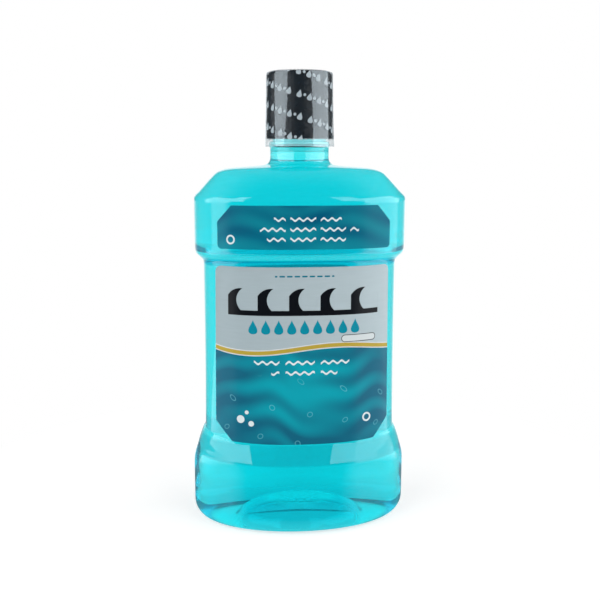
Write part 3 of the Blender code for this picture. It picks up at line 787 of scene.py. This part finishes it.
class Finish:
    """A material, its nodes and the places that its patterns are drawn from."""

    def __init__(self, name):
        self.material = bpy.data.materials.new(name)
        self.material.use_nodes = True
        self.tree = self.material.node_tree
        self.shader = self.tree.nodes["Principled BSDF"]

    def node(self, kind, **settings):
        made = self.tree.nodes.new(kind)
        for name, value in settings.items():
            setattr(made, name, value)
        return made

    def link(self, source, target):
        self.tree.links.new(source.socket if isinstance(source, Field) else source, target)

    def set(self, **values):
        for name, value in values.items():
            slot = self.shader.inputs[name.replace("_", " ")]
            if isinstance(value, (Field, bpy.types.NodeSocket)):
                self.link(value, slot)
            elif isinstance(value, tuple):
                slot.default_value = (*value, 1.0)
            else:
                slot.default_value = value

    def place(self):
        """The place on the object in mm, as three fields."""
        coordinates = self.node("ShaderNodeTexCoord")
        return self.split(coordinates.outputs["Object"])

    def print_place(self):
        """The place on a printed film in mm: across from its middle, and height above the foot."""
        across, up, _ = self.split(self.node("ShaderNodeUVMap", uv_map="print").outputs[0])
        return across, up

    def split(self, vector):
        parts = self.node("ShaderNodeSeparateXYZ")
        self.link(vector, parts.inputs[0])
        return [Field(self.tree, parts.outputs[i]) * (1 / MM) for i in range(3)]

    def noise(self, size, detail=2.0, stretch=(1, 1, 1)):
        """Smooth noise from 0 to 1 whose lumps are about the size in mm."""
        coordinates = self.node("ShaderNodeTexCoord")
        mapping = self.node("ShaderNodeMapping")
        self.link(coordinates.outputs["Object"], mapping.inputs["Vector"])
        mapping.inputs["Scale"].default_value = [1 / MM / size / s for s in stretch]
        made = self.node("ShaderNodeTexNoise")
        made.inputs["Scale"].default_value = 1.0
        made.inputs["Detail"].default_value = detail
        self.link(mapping.outputs[0], made.inputs["Vector"])
        return Field(self.tree, made.outputs[0])

    def colours(self, low, high, share):
        mix = self.node("ShaderNodeMix", data_type="RGBA")
        self.link(share, mix.inputs["Factor"])
        for value, slot in ((low, mix.inputs["A"]), (high, mix.inputs["B"])):
            if isinstance(value, tuple):
                slot.default_value = (*value, 1.0)
            else:
                self.link(value, slot)
        return mix.outputs["Result"]

    def inked(self, colour, ink, shape):
        """The colour with an ink over it wherever the shape's distance is below nought."""
        return self.colours(colour, ink, shape.inside())

    def relief(self, height, depth):
        """Raises the surface by the field's height times the depth in mm."""
        bump = self.node("ShaderNodeBump")
        bump.inputs["Strength"].default_value = 1.0
        bump.inputs["Distance"].default_value = depth * MM
        self.link(height, bump.inputs["Height"])
        self.link(bump.outputs[0], self.shader.inputs["Normal"])


def srgb(red, green, blue):
    """A colour as three linear shares from its screen values."""
    return tuple(
        c / 255 / 12.92 if c <= 10 else ((c / 255 + 0.055) / 1.055) ** 2.4
        for c in (red, green, blue)
    )


WHITE = (1.0, 1.0, 1.0)
GOLD = srgb(196, 170, 70)

# Plastic and liquid: how far they bend light. With the real 1.34 the liquid's edges turn black.
PLASTIC_INDEX = 1.45
LIQUID_INDEX = 1.2
LIQUID_DENSITY = 86.0

# Painted shade in the plastic's tint, darker where shade is seen through it: up the flare's step, up
# the ledge, and on the slope of the domed underside, by the squares of its half width and half depth
STEP_SHADE = (44.2, 45.4, 55.5, 57.5)
LEDGE_SHADE = (161.2, 162.2, 165.9, 166.9)
DOME_SQUARES = (1444, 562)
SLOPE_TOP = (15.5, 14.8)

# Painted light: a glow in the wall standing in for the light that it scatters, so that rays trapped
# in it don't end black
PLASTIC_PAINTED_GLOW = 0.022


def shell_finish():
    """Clear blown plastic with a light tint, bands of painted shade and the faint waves of its
    moulding.
    """
    made = Finish("clear_teal_plastic")
    haze = made.noise(9.0, 3.0)
    x, y, z = made.place()
    clear = made.colours((0.90, 0.985, 0.99), (0.94, 0.995, 0.997), haze)
    # Painted shade: darker tints up the flare's step, up the ledge and on the dome's slope
    reach = (x * x) / DOME_SQUARES[0] + (y * y) / DOME_SQUARES[1]
    slope = reach.ramp(1.0, 0.85) * reach.ramp(0.22, 0.36) * z.ramp(*SLOPE_TOP)
    clear = made.colours(clear, (0.50, 0.76, 0.79), z.band(*STEP_SHADE))
    clear = made.colours(clear, (0.08, 0.70, 0.80), z.band(*LEDGE_SHADE))
    made.set(
        Base_Color=made.colours(clear, (0.34, 0.80, 0.86), slope),
        Roughness=haze * 0.03 + 0.01,
        IOR=PLASTIC_INDEX,
        Transmission_Weight=1.0,
        # Painted light: the wall glows faintly teal
        Emission_Color=(0.0, 0.80, 0.88),
        Emission_Strength=PLASTIC_PAINTED_GLOW,
    )
    made.relief(made.noise(26.0, 1.0, stretch=(1, 1, 0.7)), 0.10)
    return made.material


def liquid_finish():
    made = Finish("mouthwash")
    made.set(
        Base_Color=WHITE,
        Roughness=0.0,
        IOR=LIQUID_INDEX,
        Specular_IOR_Level=0.0,
        Transmission_Weight=1.0,
    )
    absorb = made.node("ShaderNodeVolumeAbsorption")
    absorb.inputs["Color"].default_value = (0.0, 0.933, 0.952, 1.0)
    absorb.inputs["Density"].default_value = LIQUID_DENSITY
    made.link(absorb.outputs[0], made.tree.nodes["Material Output"].inputs["Volume"])
    return made.material


def label_sheen(made):
    """The gloss of a printed film: even, with slight clouding and a fine tooth."""
    cloud = made.noise(14.0, 3.0)
    made.set(Roughness=cloud * 0.10 + 0.20, Specular_IOR_Level=0.14)
    made.relief(made.noise(0.7, 3.0), 0.01)


# Front label's print: rows as height, reach to either side and spacing, wavelets as height, reach
# and phase, bubbles as place and size, plate and ring as place
GOLD_LINE = 114.5
WAVES = (135.9, 46.0, 18.4)
DROPS = (127.8, 34.0, 7.6)
DASHES = (157.2, 17.4, 4.4)
PLATE = (33.0, 120.4)
PLATE_BORDER = 0.4
FRONT_WAVELETS = ((106.6, 29.8, 0.0), (100.4, 19.5, 1.7))
FRONT_BUBBLES = ((-38.0, 72.0, 2.4), (-31.5, 69.6, 1.7), (-34.2, 76.4, 1.2))
FRONT_RING = (38.4, 71.5)


def front_print():
    """Silver-grey over teal, with a gold wave between, breaking waves, drops and small marks."""
    made = Finish("front_label_film")
    x, z = made.print_place()
    grain = made.noise(1.2, 3.0, stretch=(9, 9, 1))
    # Painted light and shade: the silver panel darker on the left and lighter on the right, over the
    # print's own fine grain
    grain_and_side_light = grain * 0.3 + x.ramp(-52, 52) * 0.7
    silver = made.colours(srgb(168, 184, 190), srgb(196, 212, 218), grain_and_side_light)

    swell = z + x.wave(74.0, 0.6) * 5 + x.wave(31.0, 2.0) * 1.6
    bands = swell.wave(17.0) * 0.20 + (swell * 1.7 + x * 0.35).wave(23.0, 1.0) * 0.13
    glow = (disc(x * 0.95, (z - 92) * 1.25, 0) / 44).ramp(1.0, 0.15)
    light = (glow * 0.85 + bands + 0.10).clamped()
    teal = made.colours(srgb(20, 106, 134), srgb(10, 172, 190), light)

    line = z - GOLD_LINE - x.wave(104.0, 0.35) * 2.3
    colour = made.inked(teal, silver, -line)
    colour = made.inked(colour, srgb(226, 232, 232), abs(line) - 1.75)
    colour = made.inked(colour, GOLD, abs(line) - 1.15)

    height, half, period = WAVES
    u = x.repeated(period)
    crest = disc(u + 1.2, z - 140.6, 9.6).most(-disc(u - 4.2, z - 143.4, 7.9)).most(z * -1 + 134.5)
    v = z - height
    foot = (abs(x) - half).most(abs(v) - 1.5)
    waves = crest.most(abs(x) - half).least(foot)
    colour = made.inked(colour, srgb(16, 20, 26), waves)

    height, half, period = DROPS
    drop = droplet(x.repeated(period), z - height, 2.7, 4.3).most(abs(x) - half)
    colour = made.inked(colour, srgb(8, 146, 170), drop)
    height, half, period = DASHES
    dash = pill(x.repeated(period), z - height, 1.2, 0.45).most(abs(x) - half)
    colour = made.inked(colour, srgb(18, 120, 146), dash)
    plate = pill(x - PLATE[0], z - PLATE[1], 9.0, 2.2)
    colour = made.inked(colour, srgb(20, 28, 34), plate)
    colour = made.inked(colour, srgb(224, 232, 234), plate + PLATE_BORDER)

    white = srgb(232, 244, 246)
    for height, half, phase in FRONT_WAVELETS:
        bent = z - height - x.wave(5.2, phase) * 0.75
        mark = (abs(bent) - 0.62).most(abs(x) - half).most(abs((x + 2.6).repeated(20.8)) - 8.6)
        colour = made.inked(colour, white, mark)
    for across, height, radius in FRONT_BUBBLES:
        colour = made.inked(colour, white, disc(x - across, z - height, radius))
    ring = abs(disc(x - FRONT_RING[0], z - FRONT_RING[1], 2.3)) - 0.55
    colour = made.inked(colour, white, ring)
    bubbles = disc(x.repeated(23.0) + (z * 0.9).wave(41.0) * 4, (z + x * 0.2).repeated(19.0), 1.5)
    lower = (z - 96).inside(8.0)
    colour = made.colours(colour, srgb(110, 206, 220), (abs(bubbles) - 0.25).inside() * lower * 0.45)
    made.set(Base_Color=colour)
    label_sheen(made)
    return made.material


# Shoulder label's wavelets as height, reach and phase, their middle, and its ring
SHOULDER_WAVELETS = ((190.0, 19.0, 0.4), (184.4, 29.2, 1.9), (178.8, 23.0, 0.9))
WAVELET_MIDDLE = 1.2
SHOULDER_RING = (-43.0, 178.6)


def shoulder_print():
    """Deep teal with soft waves, rows of white wavelets and a ring."""
    made = Finish("shoulder_label_film")
    x, z = made.print_place()
    swell = z + x.wave(61.0, 2.2) * 4.0
    bands = swell.wave(13.0) * 0.3 + (x * 0.5 + z).wave(29.0, 0.4) * 0.25 + 0.5
    deep = made.colours(srgb(0, 92, 126), srgb(12, 138, 158), bands.clamped())
    colour = made.colours(deep, srgb(6, 150, 170), z.ramp(186, 174) * 0.5)
    white = srgb(226, 240, 244)
    for height, half, phase in SHOULDER_WAVELETS:
        bent = z - height - x.wave(4.6, phase) * 0.7
        mark = (abs(bent) - 0.58).most(abs(x - WAVELET_MIDDLE) - half)
        mark = mark.most(abs((x + 1.5).repeated(17.0)) - 7.2)
        colour = made.inked(colour, white, mark)
    ring = abs(disc(x - SHOULDER_RING[0], z - SHOULDER_RING[1], 2.2)) - 0.5
    colour = made.inked(colour, white, ring)
    made.set(Base_Color=colour)
    label_sheen(made)
    return made.material


# Back label's print: its borders' heights and wave length, and its bars' middle, reach to either
# side, reach up and down, and spacing
BORDERS = (150.0, 74.0, 30.0)
BARS = (112.0, 27.0, 31.0, 5.2)


def back_print():
    """A pale panel with plain bars between teal borders."""
    made = Finish("back_label_film")
    x, z = made.print_place()
    pale = made.colours(srgb(196, 214, 218), srgb(212, 226, 230), made.noise(20.0))
    teal = srgb(20, 132, 154)
    head, foot, period = BORDERS
    border = z - head - x.wave(period) * 1.4
    colour = made.inked(pale, teal, -border)
    colour = made.inked(colour, GOLD, abs(border) - 0.6)
    border = z - foot - x.wave(period, 1.0) * 1.4
    colour = made.inked(colour, teal, border)
    middle, half_width, half_height, period = BARS
    bars = (abs(z.repeated(period)) - 0.8).most(abs(x) - half_width)
    bars = bars.most(abs(z - middle) - half_height)
    gap = abs(x + z.wave(33.0) * 8 - 9) * -1 + 1.4
    colour = made.colours(colour, srgb(96, 118, 126), bars.most(gap).inside() * 0.8)
    made.set(Base_Color=colour)
    label_sheen(made)
    return made.material


# Painted light: how strongly a label's plain side glows
REVERSE_PAINTED_GLOW = 0.3


def reverse_finish():
    """The plain white side of a label, with a painted glow standing in for the light that thin film
    lets through.
    """
    made = Finish("label_reverse")
    cloud = made.noise(11.0, 3.0)
    made.set(
        Base_Color=made.colours(srgb(228, 236, 237), srgb(238, 243, 243), cloud),
        Roughness=cloud * 0.1 + 0.4,
        Emission_Color=WHITE,
        Emission_Strength=REVERSE_PAINTED_GLOW,
    )
    return made.material


def cap_finish():
    """Moulded near-black plastic, satin and slightly mottled."""
    made = Finish("black_plastic")
    mottle = made.noise(3.0, 4.0)
    made.set(
        Base_Color=made.colours(srgb(8, 24, 36), srgb(12, 31, 44), mottle),
        Roughness=made.noise(5.0, 3.0) * 0.08 + 0.17,
        Specular_IOR_Level=0.45,
    )
    made.relief(made.noise(0.35, 2.0), 0.012)
    return made.material


# The film's print: its radius and length round, the height it is measured from, the distance
# between its rows, a group of marks along a row, and where it fades. Three rows further up, each
# row meets itself again round the cap.
FILM_RADIUS = 20.0
FILM_ROUND = math.tau * FILM_RADIUS
FILM_MIDDLE = 250
FILM_ROW = 12.0
FILM_GROUP = 25.2
FILM_GROUP_HALF = 10.9
PRINT_FOOT = (233.6, 234.6)
PRINT_HEAD = (272.9, 272.3)

# Film: where its free skirt and its hem set in, shares that it covers, they add and marks cover, and
# the painted glow of its skirt
SKIRT = (235.0, 234.2)
HEM = (231.4, 230.6)
FILM_SHARE = 0.070
SKIRT_SHARE = 0.12
HEM_SHARE = 0.06
MARK_SHARE = 0.66
SKIRT_PAINTED_GLOW = 0.15


def film_finish():
    """Clear shrink film: it shows by its gloss, its slight milkiness and its pale printed marks."""
    made = Finish("clear_film")
    x, y, z = made.place()
    turn = y.made("ARCTAN2", x)
    around = turn * FILM_RADIUS
    tilt = -math.asin(3 * FILM_ROW / FILM_ROUND)
    along = around * math.cos(tilt) + (z - FILM_MIDDLE) * math.sin(tilt)
    across = (z - FILM_MIDDLE) * math.cos(tilt) - around * math.sin(tilt)
    index = (across / FILM_ROW).made("ROUND")
    row = across - index * FILM_ROW
    along = along + index * ((6 * FILM_GROUP - FILM_ROUND * math.cos(tilt)) / 3)
    group = abs(along.repeated(FILM_GROUP)) - FILM_GROUP_HALF
    step = along.repeated(FILM_GROUP / 4)
    drop = droplet(abs(step) - FILM_GROUP / 8, row, 1.55, 2.3)
    marks = disc(step, row, 0.85).least(drop).most(group).inside(0.2)
    marks = marks * z.ramp(*PRINT_FOOT) * z.ramp(*PRINT_HEAD)
    weight = made.node("ShaderNodeLayerWeight")
    weight.inputs["Blend"].default_value = 0.5
    facing = Field(made.tree, weight.outputs["Facing"])
    skirt = z.ramp(*SKIRT)
    hem = z.ramp(*HEM)
    rim = facing.made("POWER", 5.0) * (skirt * -0.55 + 0.9)
    cover = (rim + FILM_SHARE + skirt * SKIRT_SHARE + hem * HEM_SHARE).clamped()
    made.set(
        Base_Color=(0.78, 0.90, 0.97),
        Metallic=marks.most(skirt * 0.7).rest() * 0.98,
        Roughness=made.noise(6.0, 2.0) * 0.08 + 0.07,
        Alpha=cover + (cover * -1 + MARK_SHARE).most(0.0) * marks,
        # Painted light: the skirt glows pale
        Emission_Color=WHITE,
        Emission_Strength=skirt * SKIRT_PAINTED_GLOW,
    )
    made.relief(made.noise(7.0, 2.0, stretch=(1, 1, 4)), 0.12)
    return made.material


def foam_finish():
    made = Finish("seal_foam")
    cells = made.noise(0.5, 2.0)
    made.set(
        Base_Color=made.colours(srgb(222, 224, 224), srgb(236, 237, 236), cells),
        Roughness=cells * 0.1 + 0.75,
    )
    made.relief(cells, 0.05)
    return made.material


def dress_washer():
    node = frame["nodes"]["cap_seal_washer"]
    node.data.materials.clear()
    node.data.materials.append(foam_finish())


# Camera: fitted to the bottle's outline, in metres, radians and pixels
CAMERA_DISTANCE = 0.501
CAMERA_HEIGHT = 0.2264
CAMERA_AZIMUTH = -0.09
CAMERA_PAN = -0.001
CAMERA_TILT = 0.176
CAMERA_ROLL = 0.002
CAMERA_FOCUS = 826.0
FRAME_PIXELS = 600

# Bounces of light, many because it passes through four walls and the liquid
BOUNCES = 48
CLEAR_BOUNCES = 24


def direction(azimuth):
    """The level direction at an azimuth, which is nought towards -Y and grows to the right."""
    return Vector((math.sin(azimuth), -math.cos(azimuth), 0))


def make_camera():
    data = bpy.data.cameras.new("camera")
    data.sensor_width = 36
    data.lens = CAMERA_FOCUS / FRAME_PIXELS * data.sensor_width
    data.clip_start = 0.01
    data.clip_end = 20
    camera = new_object("camera", data)
    forward = -direction(CAMERA_AZIMUTH + CAMERA_PAN) * math.cos(CAMERA_TILT)
    forward.z = -math.sin(CAMERA_TILT)
    right = forward.cross(Vector((0, 0, 1))).normalized()
    up = right.cross(forward)
    level_right = right * math.cos(CAMERA_ROLL) + up * math.sin(CAMERA_ROLL)
    level_up = up * math.cos(CAMERA_ROLL) - right * math.sin(CAMERA_ROLL)
    place = direction(CAMERA_AZIMUTH) * CAMERA_DISTANCE
    place.z = CAMERA_HEIGHT
    turned = Matrix((level_right, level_up, -forward)).transposed().to_4x4()
    camera.matrix_world = Matrix.Translation(place) @ turned
    scene.camera = camera


# Lamps: distance, height that elevations are counted from, and what soft_box takes. The high ones
# leave out the cap.
LAMP_DISTANCE = 6.0
LAMP_MIDDLE = 0.13
LAMPS = (("lamp_left", -97, -42, -8, 48, 2.2), ("lamp_right", 43, 115, -8, 45, 2.2))
HIGH_LAMPS = (("lamp_high_left", -42, -24, 3, 56, 2.1), ("lamp_high_right", 24, 43, 3, 54, 1.6))
CAP_PIECES = ("ribbed_cap", "clear_shrink_film")


def soft_box(name, left, right, low, high, radiance):
    """An upright lamp towards the bottle. Angles are in degrees, azimuths from the camera's side."""
    azimuth = (left + right) / 2
    width = 2 * LAMP_DISTANCE * math.tan(math.radians(right - left) / 2)
    foot = LAMP_DISTANCE * math.tan(math.radians(low))
    tall = LAMP_DISTANCE * math.tan(math.radians(high)) - foot
    data = bpy.data.lights.new(name, "AREA")
    data.shape = "RECTANGLE"
    data.size = width
    data.size_y = tall
    data.energy = radiance * math.pi * width * tall
    lamp = new_object(name, data)
    away = direction(math.radians(azimuth) + CAMERA_AZIMUTH)
    lamp.location = away * LAMP_DISTANCE + Vector((0, 0, foot + tall / 2 + LAMP_MIDDLE))
    lamp.rotation_mode = "QUATERNION"
    lamp.rotation_quaternion = (-away).to_track_quat("-Z", "Y")
    lamp.visible_camera = False
    return lamp


def light_all_but_cap(lamp):
    """Keeps a lamp off the cap and its film, whose middle stays dark between two lit bands."""
    lit = bpy.data.collections.new("lit_by_" + lamp.name)
    for piece in scene.objects:
        if piece.type == "MESH" and piece.name not in CAP_PIECES:
            lit.objects.link(piece)
    lamp.light_linking.receiver_collection = lit


def ray_kinds(tree):
    """1 for rays from the camera, for passing ones and for mirrored ones, as three fields."""
    path = tree.nodes.new("ShaderNodeLightPath")
    camera = Field(tree, path.outputs["Is Camera Ray"])
    through = Field(tree, path.outputs["Is Transmission Ray"])
    return camera, through, Field(tree, path.outputs["Is Glossy Ray"]) * through.rest()


# Shares of the world's light that passing and mirrored rays get from elsewhere, and other rays
DIM_SHARE = 0.08
OTHER_SHARE = 0.14


def make_world():
    """White behind the bottle for the eye and through its wall, soft and dim from elsewhere."""
    world = bpy.data.worlds.new("studio")
    scene.world = world
    world.use_nodes = True
    tree = world.node_tree
    background = tree.nodes["Background"]
    camera, through, glossy = ray_kinds(tree)
    coordinates = tree.nodes.new("ShaderNodeTexCoord")
    dot = tree.nodes.new("ShaderNodeVectorMath")
    dot.operation = "DOT_PRODUCT"
    tree.links.new(coordinates.outputs["Generated"], dot.inputs[0])
    dot.inputs[1].default_value = -direction(CAMERA_AZIMUTH)
    ahead = Field(tree, dot.outputs["Value"])
    mirror = ahead.ramp(0.90, 0.97) * (1 - DIM_SHARE) + DIM_SHARE
    window = ahead.ramp(-0.30, 0.10) * (1 - DIM_SHARE) + DIM_SHARE
    other = (camera + through + glossy).rest()
    strength = camera + through * window + glossy * mirror + other.most(0.0) * OTHER_SHARE
    tree.links.new(strength.socket, background.inputs["Strength"])
    background.inputs["Color"].default_value = (*WHITE, 1.0)


# Table: its reach and height in metres, its glow for the eye, where the shadow on it fades to even
# white, and the painted teal that stands in for the light shining through the bottle onto it
TABLE_REACH = 4.0
TABLE_TOP = -0.05 * MM
TABLE_GLOW = 0.60
SHADOW_FADE = (110, 260)
UNDER_PAINTED_TEAL = (0.04, 0.66, 0.74)
UNDER_FADE = (28, 75)
UNDER_LIT = (60, 30)


def make_floor():
    """A plain white table that keeps the bottle's soft shadow.

    Passing and mirrored rays see painted light on it: bright patches standing in for cards at the
    sides and behind, painted darkness towards the camera, and painted teal under the bottle.
    """
    mesh = bpy.data.meshes.new("floor")
    sides = ((-1, -1), (1, -1), (1, 1), (-1, 1))
    corners = [(x * TABLE_REACH, y * TABLE_REACH, TABLE_TOP) for x, y in sides]
    mesh.from_pydata(corners, [], [(0, 1, 2, 3)])
    floor = new_object("floor", mesh)
    made = Finish("floor")
    made.set(
        Base_Color=(0.80, 0.80, 0.80), Roughness=0.6, Specular_IOR_Level=0.2, Emission_Color=WHITE
    )
    camera, through, glossy = ray_kinds(made.tree)
    x, y, _ = made.place()
    away = (x * x + y * y).root()
    made.link(camera * TABLE_GLOW, made.shader.inputs["Emission Strength"])
    # Painted light for passing and mirrored rays: teal under the bottle, bright card patches at the
    # sides and behind, and darkness towards the camera
    white = made.node("ShaderNodeEmission")
    under = ((x * 0.62) * (x * 0.62) + y * y).root()
    made.link(made.colours(UNDER_PAINTED_TEAL, WHITE, under.ramp(*UNDER_FADE)), white.inputs["Color"])
    ahead = direction(CAMERA_AZIMUTH)
    front = (x * ahead.x + y * ahead.y) / away.most(1.0)
    lit = front.ramp(0.80, 0.62) * 0.95 + 0.05
    right = direction(CAMERA_AZIMUTH + math.pi / 2)
    on_right = ((x * right.x + y * right.y) / away.most(1.0)).ramp(-0.05, 0.05)
    limit = away.ramp(300, 900) * 0.5 - 0.27
    painted_left_card = ((front - limit) / 0.06 + 0.5).clamped() * on_right.rest()
    painted_right_card = front.ramp(-0.36, -0.26) * on_right
    painted_cards = front.ramp(0.74, 0.66) * (painted_left_card + painted_right_card) * away.ramp(145, 195) * 1.7
    behind = front.ramp(-0.70, -0.92) * 0.7 + on_right * front.ramp(0.0, -0.2) * 0.15
    bounced = front.ramp(0.80, 0.62) * 0.12 + 0.04 + behind + painted_cards
    near = under.ramp(*UNDER_LIT)
    seen = lit + (bounced - lit) * glossy
    made.link(seen.most(near).most(camera), white.inputs["Strength"])
    mix = made.node("ShaderNodeMixShader")
    made.link(through.most(glossy).most(camera * away.ramp(*SHADOW_FADE)), mix.inputs[0])
    made.link(made.shader.outputs[0], mix.inputs[1])
    made.link(white.outputs[0], mix.inputs[2])
    made.link(mix.outputs[0], made.tree.nodes["Material Output"].inputs["Surface"])
    mesh.materials.append(made.material)


def make_pieces():
    make_shell(shell_finish())
    make_liquid(liquid_finish())
    plain = reverse_finish()
    make_label(
        "front_label_film", "front_label", [front_print(), plain],
        label_columns(FRONT_HALF, FRONT_CORNER, FRONT_CUT[:1]), front_edges,
        FRONT_HEAD_HALF / FRONT_HALF, -1,
    )
    make_label(
        "shoulder_label_film", "shoulder_label", [shoulder_print(), plain],
        label_columns(SHOULDER_HALF, SHOULDER_CORNER, SHOULDER_CUT[:1]), shoulder_edges,
        1.0, -1, SHOULDER_ROWS,
    )
    make_label(
        "back_label_film", "back_label", [back_print(), plain],
        label_columns(BACK_HALF, BACK_CORNER, ()), back_edges,
        BACK_HEAD_HALF / BACK_HALF, 1,
    )
    make_cap(cap_finish())
    make_film(film_finish())
    dress_washer()


make_pieces()
make_camera()
make_world()
make_floor()
for lamp in LAMPS:
    soft_box(*lamp)
for lamp in HIGH_LAMPS:
    light_all_but_cap(soft_box(*lamp))
scene.view_settings.view_transform = "Standard"
scene.cycles.max_bounces = BOUNCES
scene.cycles.transmission_bounces = BOUNCES
scene.cycles.glossy_bounces = BOUNCES
scene.cycles.transparent_max_bounces = CLEAR_BOUNCES
